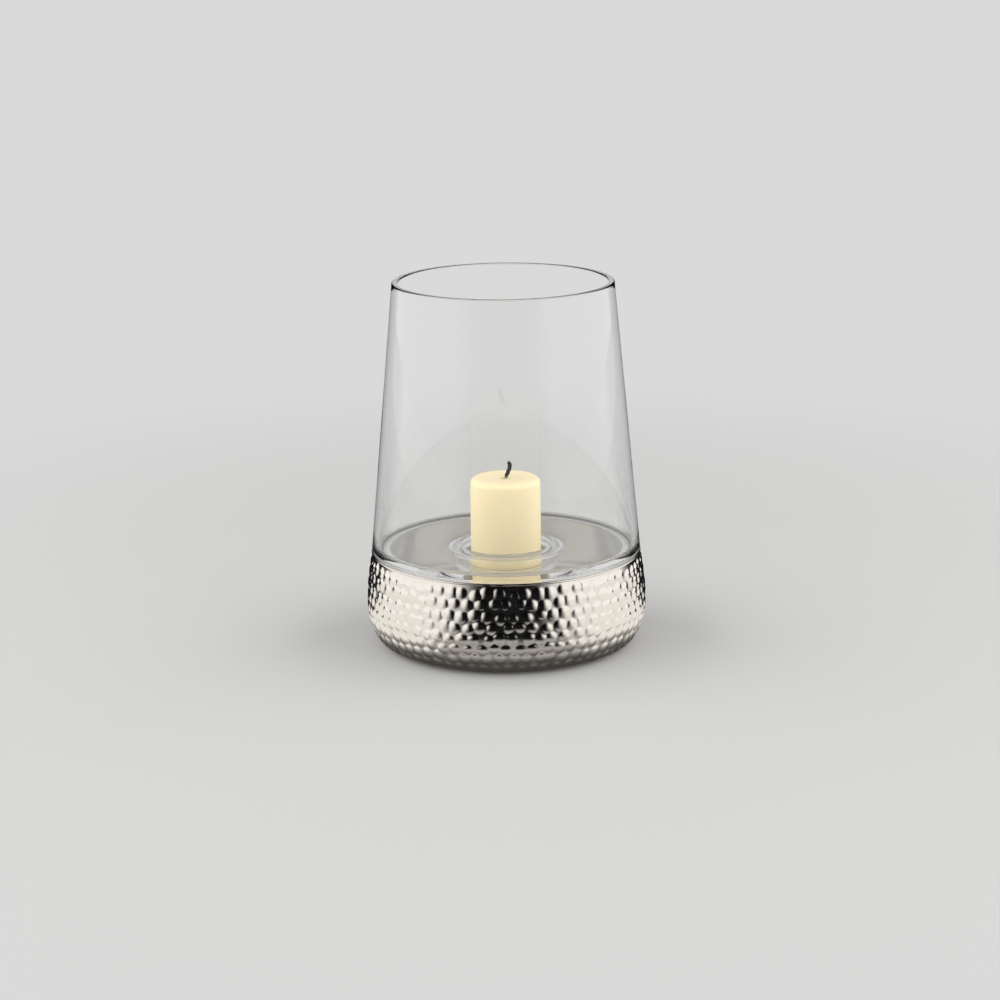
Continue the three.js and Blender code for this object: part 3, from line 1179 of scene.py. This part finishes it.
@dataclass
class HammeredBowl:
    """The hammered nickel bowl, with heights measured from its flat underside.

    Bead scatter is a share of the beads' pitch, and the margins above and below the beads are in
    rows of them.
    """

    SCATTER_RATES = (12.9898, 78.233, 37.719)
    SCATTER_GAIN = 43758.5453

    glass: GlassSizes
    underside: float
    radius: float = 99.75 * MM
    sheet: float = 1.6 * MM
    foot_inset: float = 15 * MM
    flat_share: float = 0.97
    belly_height: float = 28 * MM
    seat_height: float = 63.5 * MM
    seat_width: float = 8 * MM
    seat_gap: float = 0.3 * MM
    edge_round: float = 0.35 * MM
    cradle_angle: float = math.pi / 4
    cradle_steps: int = 5
    beads_around: int = 68
    bead_height: float = 1 * MM
    bead_radius: float = 4.75 * MM
    bead_scatter: float = 0.18
    size_scatter: float = 0.2
    margin_above: float = 0.25
    margin_below: float = 0.25
    flank_rows: int = 90
    inner_rows: int = 12
    inner_crowding: float = 1.5
    lip_steps: int = 7
    sides: int = 680

    @property
    def beaded_radius(self) -> float:
        """Radius of the belly between the beads."""
        return self.radius - self.bead_height

    @property
    def foot_radius(self) -> float:
        """Radius of the flat underside."""
        return self.beaded_radius - self.foot_inset

    def cradle(self) -> list[Vector]:
        """The seat's cradle, one seat gap outside the rounded corner of the glass.

        Returns:
            Its points, from the lip inwards.
        """
        radius = self.glass.corner + self.seat_gap
        centre = self.glass.corner_centre + Vector((0.0, self.seat_height + self.seat_gap))
        steps = self.cradle_steps
        angles = [self.cradle_angle * (1 - i / steps) for i in range(steps + 1)]
        return [centre + Vector((math.sin(a), -math.cos(a))) * radius for a in angles]

    def lip(self, cradle_start: Vector) -> list[Vector]:
        """The lip rolled over from the outer wall to the start of the cradle.

        Args:
            cradle_start: Where the cradle begins.

        Returns:
            Its points, without the cradle's first.
        """
        radius = self.sheet / 2
        centre = cradle_start + Vector((radius, 0.0))
        angles = [math.pi * i / self.lip_steps for i in range(self.lip_steps)]
        return [centre + Vector((math.cos(a), math.sin(a))) * radius for a in angles]

    def flank(self) -> Flank:
        """The flank that the beads stand on."""
        start = self.lip(self.cradle()[0])[0]
        return Flank(self, start - Vector((self.bead_height, self.bead_height)))

    def profile(self) -> tuple[Profile, list[float]]:
        """The bowl's outline from the middle of its underside to the middle of its floor.

        Returns:
            The profile, and for each point 1 where beads stand on it and 0 elsewhere.
        """
        flank = self.flank()
        rows = self.flank_rows
        outer = [flank.offset_point(i / rows, 0.0) for i in range(rows + 1)]
        cradle = self.cradle()
        seat_edge = self.glass.corner_centre.x - self.seat_width
        seat_under = self.seat_height - self.sheet
        top_share = 1 - (flank.top.y - seat_under) / flank.length
        wall_top = flank.offset_point(top_share, -self.sheet)
        turned_in = Profile.rounded(
            [
                Corner(*cradle[-1]),
                Corner(seat_edge, self.seat_height, self.edge_round),
                Corner(seat_edge, seat_under, self.edge_round),
                Corner(*wall_top),
            ]
        ).points[1:]
        inner = [
            flank.offset_point(
                top_share * (1 - i / self.inner_rows) ** self.inner_crowding, -self.sheet
            )
            for i in range(1, self.inner_rows + 1)
        ]
        flat_radius = self.flat_share * self.foot_radius
        points = [
            Vector((0.0, 0.0)),
            Vector((flat_radius, 0.0)),
            *outer,
            *self.lip(cradle[0]),
            *cradle,
            *turned_in,
            *inner,
            Vector((flat_radius, self.sheet)),
            Vector((0.0, self.sheet)),
        ]
        relief = [0.0] * len(points)
        relief[2 : 2 + len(outer)] = [1.0] * len(outer)
        return Profile(points).raised(self.underside), relief

    def scatter(self, row: int, column: int, salt: int) -> float:
        """Repeatable scatter between -1 and 1 for one bead.

        Args:
            row: Row of the bead.
            column: Column of the bead.
            salt: Which of the bead's numbers.

        Returns:
            The number.
        """
        row_rate, column_rate, salt_rate = self.SCATTER_RATES
        turn = row * row_rate + column * column_rate + salt * salt_rate
        wave = math.sin(turn) * self.SCATTER_GAIN
        return 2 * (wave - math.floor(wave)) - 1

    def bead_centres(self) -> tuple[list[Vector], list[float]]:
        """Where the staggered rows of beads stand, and how large each is.

        Returns:
            The centres on the flank, and each bead's share of the full size.
        """
        flank = self.flank()
        pitch = math.tau / self.beads_around
        spacing = self.beaded_radius * pitch * math.sqrt(3) / 2
        rows = math.floor(flank.length / spacing - self.margin_above - self.margin_below)
        row_share = spacing / flank.length
        first_share = 1 - (rows + self.margin_above) * row_share
        centres: list[Vector] = []
        sizes: list[float] = []
        for row in range(rows):
            for column in range(self.beads_around):
                aside = self.bead_scatter * self.scatter(row, column, 1)
                along = self.bead_scatter * self.scatter(row, column, 2)
                angle = pitch * (column + 0.5 * (row % 2) + aside)
                point = flank.offset_point(first_share + row_share * (row + 0.5 + along), 0.0)
                height = point.y + self.underside
                x, y = point.x * math.cos(angle), point.x * math.sin(angle)
                centres.append(Vector((x, y, height)))
                sizes.append(1 - self.size_scatter * (1 + self.scatter(row, column, 3)) / 2)
        return centres, sizes

    def build(self, nickel: bpy.types.Material) -> bpy.types.Object:
        """Builds and dresses the bowl.

        Args:
            nickel: Its finish.

        Returns:
            The piece.
        """
        profile, relief = self.profile()
        centres, sizes = self.bead_centres()
        seeds = loose_mesh("bead centres", centres)
        write_mark(seeds, Mark.BEAD_SIZE, sizes)
        shaping = {
            "Bead centres": seeds,
            "Bead radius": self.bead_radius,
            "Bead height": self.bead_height,
        }
        piece = BeadedTree().turn("hammered_shell", profile, self.sides, nickel, relief, shaping)
        remove(seeds)
        return settle(piece, Body.BOWL, ["hammered_bowl"])


@dataclass
class FeltPads:
    """Round felt pads under the bowl, each in the place of its CAD node."""

    nodes: Sequence[str]
    edge_round: float = 0.4 * MM
    longest_edge: float = 1.5 * MM
    sides: int = 72

    def build(self, turning: TurningTree, felt: bpy.types.Material) -> list[bpy.types.Object]:
        """Builds and dresses the pads, by the tree that turns them and their finish."""
        return [self._pad(node, turning, felt) for node in self.nodes]

    def _pad(self, node: str, turning: TurningTree, felt: bpy.types.Material) -> bpy.types.Object:
        """Builds and dresses one pad.

        Args:
            node: The CAD node that it stands for.
            turning: The tree that turns its profile.
            felt: Its finish.

        Returns:
            The piece.
        """
        low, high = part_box(node)
        radius = (high.x - low.x) / 2
        profile = Profile.rounded(
            [
                Corner(0.0, low.z),
                Corner(radius, low.z, self.edge_round),
                Corner(radius, high.z, self.edge_round / 2),
                Corner(0.0, high.z),
            ]
        ).subdivided(self.longest_edge)
        piece = turning.turn(node.replace("pad", "disc"), profile, self.sides, felt)
        centre = Vector(((low.x + high.x) / 2, (low.y + high.y) / 2, 0.0))
        piece.data.transform(Matrix.Translation(centre))
        return settle(piece, Body.BOWL, [node])


@dataclass
class HurricaneGlass:
    """The tapered clear glass with its closed floor and blown well."""

    sizes: GlassSizes
    seat: float
    wall: float = 4.5 * MM
    floor: float = 6 * MM
    inner_fillet: float = 3 * MM
    rim_round: float = 1.2 * MM
    well_radius: float = 32 * MM
    well_depth: float = 19.5 * MM
    well_edge: float = 1 * MM
    well_fillet: float = 3 * MM
    well_outer_corner: float = 5 * MM
    underside_fillet: float = 7 * MM
    longest_edge: float = 6 * MM
    sides: int = 220

    def profile(self) -> Profile:
        """The outline from the middle of the well's underside to the middle of its floor.

        Returns:
            The profile, with heights from the face that rests on the seat.
        """
        sizes = self.sizes
        across = self.wall * math.hypot(1, sizes.taper)
        well_floor = self.floor - self.well_depth
        well_outer = self.well_radius + self.wall
        floor_radius = sizes.base_radius - sizes.taper * self.floor - across
        return Profile.rounded(
            [
                Corner(0.0, well_floor - self.wall),
                Corner(well_outer, well_floor - self.wall, self.well_outer_corner),
                Corner(well_outer, 0.0, self.underside_fillet),
                Corner(sizes.base_radius, 0.0, sizes.corner),
                Corner(sizes.rim_radius, sizes.height, self.rim_round),
                Corner(sizes.rim_radius - across, sizes.height, self.rim_round),
                Corner(floor_radius, self.floor, self.inner_fillet),
                Corner(self.well_radius, self.floor, self.well_edge),
                Corner(self.well_radius, well_floor, self.well_fillet),
                Corner(0.0, well_floor),
            ]
        )

    def build(self, turning: TurningTree, glass: bpy.types.Material) -> bpy.types.Object:
        """Builds and dresses the glass.

        Args:
            turning: The tree that turns its profile.
            glass: Its finish.

        Returns:
            The piece.
        """
        profile = self.profile().raised(self.seat).subdivided(self.longest_edge)
        piece = turning.turn("glass_shade", profile, self.sides, glass)
        return settle(piece, Body.GLASS, ["hurricane_glass"])


@dataclass
class PillarCandle:
    """The part-burnt pillar: worn shoulder, shallow dish, and a bore for the wick."""

    foot: float
    radius: float = 25 * MM
    height: float = 67.2 * MM
    shoulder: float = 4.5 * MM
    foot_round: float = 1.2 * MM
    dish_radius: float = 15 * MM
    dish_depth: float = 1.2 * MM
    dish_round: float = 6 * MM
    bore_radius: float = 1.3 * MM
    wear: float = 0.35 * MM
    wear_scale: float = 55.0
    side_wear: float = 0.25
    worn_above: float = 0.8
    longest_edge: float = 1.2 * MM
    sides: int = 150

    @property
    def burnt_from(self) -> float:
        """Height of the dish's middle above the foot."""
        return self.height - self.dish_depth

    def profile(self) -> Profile:
        """The closed outline round the bore."""
        return Profile.rounded(
            [
                Corner(self.bore_radius, 0.0),
                Corner(self.radius, 0.0, self.foot_round),
                Corner(self.radius, self.height, self.shoulder),
                Corner(self.dish_radius, self.height, self.dish_round),
                Corner(self.bore_radius, self.burnt_from),
            ],
            closed=True,
        )

    def wear_share(self, point: Vector) -> float:
        """How much the surface may wear at a point of the profile.

        Args:
            point: Radius and height above the foot.

        Returns:
            The share, which grows near the top, and is 0 in the bore and round it.
        """
        if point.x < 2 * self.bore_radius:
            return 0.0
        worn_from = self.worn_above * self.height
        rise = max(0.0, (point.y - worn_from) / (self.height - worn_from))
        return self.side_wear + (1 - self.side_wear) * rise

    def build(self, turning: TurningTree, wax: bpy.types.Material) -> bpy.types.Object:
        """Builds and dresses the candle.

        Args:
            turning: The tree that turns its profile.
            wax: Its finish.

        Returns:
            The piece.
        """
        profile = self.profile().subdivided(self.longest_edge)
        relief = [self.wear_share(point) for point in profile.points]
        shaping = {"Wear depth": self.wear, "Wear scale": self.wear_scale}
        raised = profile.raised(self.foot)
        piece = turning.turn("candle_pillar", raised, self.sides, wax, relief, shaping)
        return settle(piece, Body.CANDLE, ["pillar_candle"])


@dataclass
class CandleWick:
    """The twisted cotton wick, straight in the wax, bent and charred above it.

    The bends are points of its free end, as shares of its lean and of its free length.
    """

    candle: PillarCandle
    radius: float = 1.2 * MM
    free_length: float = 12.5 * MM
    lean: float = 3 * MM
    bends: Sequence[Range] = ((0.0, -0.1), (0.1, 0.05), (0.6, 0.35), (1.1, 0.7), (0.85, 1.0))
    bend_steps: int = 16
    turns: float = 9.0
    swell: float = 0.3
    swell_from: float = 0.845
    strands: int = 3
    steps: int = 220

    def path(self) -> list[Vector]:
        """Lays a smooth curve from the candle's foot to the tip of the wick.

        Returns:
            The points of the centreline.
        """
        foot = self.candle.foot
        burnt = foot + self.candle.burnt_from
        stops = [Vector((0.0, 0.0, foot)), Vector((0.0, 0.0, (foot + burnt) / 2))]
        stops += [
            Vector((lean * self.lean, 0.0, burnt + rise * self.free_length))
            for lean, rise in self.bends
        ]
        curve = bpy.data.curves.new("wick path", "CURVE")
        curve.dimensions = "3D"
        curve.resolution_u = self.bend_steps
        spline = curve.splines.new("BEZIER")
        spline.bezier_points.add(len(stops) - 1)
        for point, stop in zip(spline.bezier_points, stops):
            point.co = stop
            point.handle_left_type = "AUTO"
            point.handle_right_type = "AUTO"
        holder = new_object("wick path", curve)
        mesh = bpy.data.meshes.new_from_object(holder)
        points = [vertex.co.copy() for vertex in mesh.vertices]
        bpy.data.objects.remove(holder)
        bpy.data.curves.remove(curve)
        bpy.data.meshes.remove(mesh)
        return points

    def build(self, cotton: bpy.types.Material) -> bpy.types.Object:
        """Builds and dresses the wick.

        Args:
            cotton: Its finish.

        Returns:
            The piece.
        """
        path = loose_mesh("wick line", self.path(), joined=True)
        piece = CordTree().run(
            "wick_cord",
            {
                "Path": path,
                "Steps": self.steps,
                "Cord radius": self.radius,
                "Turns": self.turns,
                "Swell": self.swell,
                "Swell from": self.swell_from,
                "Strands": self.strands,
                "Finish": cotton,
            },
        )
        remove(path)
        return settle(piece, Body.CANDLE, ["candle_wick"])


@dataclass
class Softbox:
    """A large diffused lamp, turned towards a point, whose face only gloss may show."""

    name: str
    width: float
    height: float
    place: Vector
    target: Vector
    brightness: float
    in_gloss: bool

    def build(self) -> bpy.types.Object:
        """Builds the lamp, which no camera ray and no ray through glass meets.

        Returns:
            The lamp.
        """
        lamp = bpy.data.lights.new(self.name, "AREA")
        lamp.shape = "RECTANGLE"
        lamp.size = self.width
        lamp.size_y = self.height
        lamp.energy = self.brightness * math.pi * self.width * self.height
        holder = new_object(self.name, lamp)
        holder.location = self.place
        holder.rotation_euler = (self.target - self.place).to_track_quat("-Z", "Y").to_euler()
        holder.visible_camera = False
        holder.visible_transmission = False
        holder.visible_glossy = self.in_gloss
        return holder


def level_square(half: float, height: float) -> list[Point]:
    """The corners of a level square round the vertical axis."""
    return [(x * half, y * half, height) for x, y in ((-1, -1), (1, -1), (1, 1), (-1, 1))]


def studio_sheet(
    name: str,
    points: Sequence[Point],
    faces: Sequence[tuple[int, ...]],
    finish: bpy.types.Material,
    only_gloss: bool,
) -> bpy.types.Object:
    """Makes a sheet that belongs to the studio and not to the object.

    Args:
        name: Name of the sheet.
        points: Its corners.
        faces: The corners of each face.
        finish: Its material.
        only_gloss: Whether it is hidden from all rays but those that gloss sends out.

    Returns:
        The sheet.
    """
    mesh = bpy.data.meshes.new(name)
    mesh.from_pydata(list(points), [], list(faces))
    mesh.materials.append(finish)
    sheet = new_object(name, mesh)
    if only_gloss:
        sheet.visible_camera = False
        sheet.visible_diffuse = False
        sheet.visible_transmission = False
        sheet.visible_shadow = False
    return sheet


@dataclass
class ArcSheet:
    """A sheet on an arc round the object, which only gloss shows.

    Each of its two edges is given by radius and height. It lies on the floor where their heights
    are the same, and stands upright where their radii are.
    """

    name: str
    edges: Edges
    steps: int
    turn: float = 0.0
    half_angle: float = math.pi

    def build(self, finish: bpy.types.Material) -> bpy.types.Object:
        """Builds the sheet.

        Args:
            finish: Its finish.

        Returns:
            The sheet.
        """
        points: list[Point] = []
        for i in range(self.steps + 1):
            angle = self.turn + self.half_angle * (2 * i / self.steps - 1)
            x, y = math.sin(angle), -math.cos(angle)
            points += [(x * radius, y * radius, height) for radius, height in self.edges]
        faces = [(2 * i, 2 * i + 1, 2 * i + 3, 2 * i + 2) for i in range(self.steps)]
        return studio_sheet(self.name, points, faces, finish, only_gloss=True)


@dataclass
class Studio:
    """Pale floor and background, soft light from both sides, and the camera.

    A side lamp's width, height and shift to the front are shares of its distance. The board, the
    card and the flags are given by the radius and height of their edges.
    """

    floor_half: float = 2.0
    ceiling_half: float = 1.5
    ceiling_height: float = 2.0
    background: float = 0.7
    ambient: float = 0.47
    side_distance: float = 1.0
    side_brightness: float = 0.4
    fill_distance: float = 1.25
    fill_brightness: float = 1.45
    side_width: float = 2.8
    side_height: float = 1.6
    side_shift: float = 0.4
    side_clearance: float = 0.02
    front_brightness: float = 0.65
    front_size: Range = (1.6, 1.2)
    front_place: Point = (0.0, -1.9, 0.8)
    front_target: Point = (0.0, 0.0, 0.15)
    board: Edges = ((0.084, 1 * MM), (2.0, 1 * MM))
    card: Edges = ((0.084, 2 * MM), (2.0, 2 * MM))
    card_fade: Range = (0.06, 0.19)
    card_steps: int = 48
    front_flag: Edges = ((0.9, 0.0), (0.9, 1.25))
    rear_flag: Edges = ((0.55, 0.0), (0.55, 0.5))
    flag_steps: int = 12
    front_angle: float = math.radians(50)
    front_share: float = 0.36
    rear_card_angle: float = math.radians(78)
    rear_flag_angle: float = math.radians(58)
    rear_share: float = 0.75
    rear_gap: Range = (math.radians(6), math.radians(26))
    camera_place: Point = (-0.0043, -1.9151, 0.5883)
    camera_pitch: float = math.radians(75.754)
    camera_roll: float = math.radians(0.7)
    rolls_about: Point = (0.0, 0.0, 0.07)
    focal_length: float = 100.0
    sensor_width: float = 36.0
    light_bounces: int = 24

    def build(self) -> None:
        """Builds the whole studio."""
        floor = level_square(self.floor_half, 0.0)
        studio_sheet("floor", floor, [(0, 1, 2, 3)], StudioPaper().build(), only_gloss=False)
        ceiling = level_square(self.ceiling_half, self.ceiling_height)
        studio_sheet("dark ceiling", ceiling, [(0, 1, 2, 3)], BlackCloth().build(), only_gloss=True)
        ArcSheet("floor board", self.board, self.card_steps).build(ReflectorBoard().build())
        self._cloths()
        self._world()
        for lamp in self._lamps():
            lamp.build()
        self._camera()
        self._let_light_cross_glass()
        bpy.context.scene.view_settings.view_transform = "Standard"

    def _cloths(self) -> None:
        """Hangs the black cloths that give the metal and the rims of the glass their dark tones."""
        faded = BlackCloth(0.0, self.front_angle, self.front_share, self.card_fade)
        front = BlackCloth(0.0, self.front_angle, self.front_share)
        behind = self._rear_cloth(self.rear_card_angle)
        far_behind = self._rear_cloth(self.rear_flag_angle)
        for name, edges, steps, cloth in (
            ("front card", self.card, self.card_steps, faded),
            ("rear card", self.card, self.card_steps, behind),
            ("front flag", self.front_flag, self.flag_steps, front),
            ("rear flag", self.rear_flag, self.flag_steps, far_behind),
        ):
            sheet = ArcSheet(name, edges, steps, cloth.turn, cloth.half_angle)
            sheet.build(cloth.build())

    def _rear_cloth(self, half_angle: float) -> BlackCloth:
        """Black cloth behind the object, open in its middle."""
        return BlackCloth(math.pi, half_angle, self.rear_share, middle_fade=self.rear_gap)

    def _lamps(self) -> list[Softbox]:
        """The softboxes, a pair at each side and a weak one in front.

        Returns:
            The softboxes.
        """
        width, height = self.front_size
        place, target = Vector(self.front_place), Vector(self.front_target)
        return [
            self._side_softbox("left softbox", -self.side_distance, self.side_brightness, True),
            self._side_softbox("right softbox", self.side_distance, self.side_brightness, True),
            self._side_softbox("left fill", -self.fill_distance, self.fill_brightness, False),
            self._side_softbox("right fill", self.fill_distance, self.fill_brightness, False),
            Softbox("front fill", width, height, place, target, self.front_brightness, False),
        ]

    def _side_softbox(self, name: str, x: float, brightness: float, in_gloss: bool) -> Softbox:
        """An upright softbox on one side, on the floor where the paper has faded out.

        Args:
            name: Name of the lamp.
            x: Where it stands, negative on the left.
            brightness: How bright its face is.
            in_gloss: Whether metal and glass reflect it.

        Returns:
            The softbox.
        """
        width, height = self.side_width * abs(x), self.side_height * abs(x)
        place = Vector((x, -self.side_shift * abs(x), self.side_clearance + height / 2))
        target = Vector((0.0, place.y, place.z))
        return Softbox(name, width, height, place, target, brightness, in_gloss)

    def _world(self) -> None:
        """A dim even light, and the pale background wherever it is seen."""
        world = bpy.data.worlds.new("studio")
        bpy.context.scene.world = world
        world.use_nodes = True
        world.node_tree.nodes.clear()
        graph = Graph(world.node_tree)
        camera, glossy, clear, depth = graph.light_path(
            "Is Camera Ray", "Is Glossy Ray", "Is Transmission Ray", "Diffuse Depth"
        )
        seen = camera.at_least(glossy).at_least(clear) * (1 - depth.at_most(1.0))
        lighting, backdrop = (
            graph.wire("ShaderNodeBackground", {}, {"Color": (level, level, level, 1.0)})
            for level in (self.ambient, self.background)
        )
        mixed = graph.wire("ShaderNodeMixShader", {}, {0: seen, 1: lighting, 2: backdrop})
        graph.node("ShaderNodeOutputWorld", {}, {"Surface": mixed})

    def _let_light_cross_glass(self) -> None:
        """Follows light through all the faces of the thick glass floor and well."""
        paths = bpy.context.scene.cycles
        paths.max_bounces = self.light_bounces
        paths.transmission_bounces = self.light_bounces
        paths.glossy_bounces = self.light_bounces

    def _camera(self) -> None:
        """Sets up the camera at the photograph's viewing angle, rolled a little as there."""
        lens = bpy.data.cameras.new("camera")
        lens.lens = self.focal_length
        lens.sensor_width = self.sensor_width
        camera = new_object("camera", lens)
        place = Vector(self.camera_place)
        sight = (Vector(self.rolls_about) - place).normalized()
        level = Matrix.Rotation(self.camera_pitch, 4, "X")
        camera.location = place
        camera.rotation_euler = (Matrix.Rotation(self.camera_roll, 4, sight) @ level).to_euler()
        bpy.context.scene.camera = camera


def main() -> None:
    """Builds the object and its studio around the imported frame."""
    logging.basicConfig(level=logging.INFO, format="%(name)s: %(message)s")
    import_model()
    turning = TurningTree()
    glass_sizes = GlassSizes()
    bowl = HammeredBowl(glass_sizes, underside=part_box("hammered_bowl")[0].z)
    bowl.build(PolishedNickel().build())
    FeltPads([f"felt_pad_{i}" for i in range(1, 5)]).build(turning, PressedFelt().build())
    seat = bowl.underside + bowl.seat_height + bowl.seat_gap
    HurricaneGlass(glass_sizes, seat).build(turning, ClearGlass().build())
    candle = PillarCandle(foot=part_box("pillar_candle")[0].z)
    candle.build(turning, CandleWax().build())
    CandleWick(candle).build(CharredCotton().build())
    Studio().build()


if __name__ == "__main__":
    main()
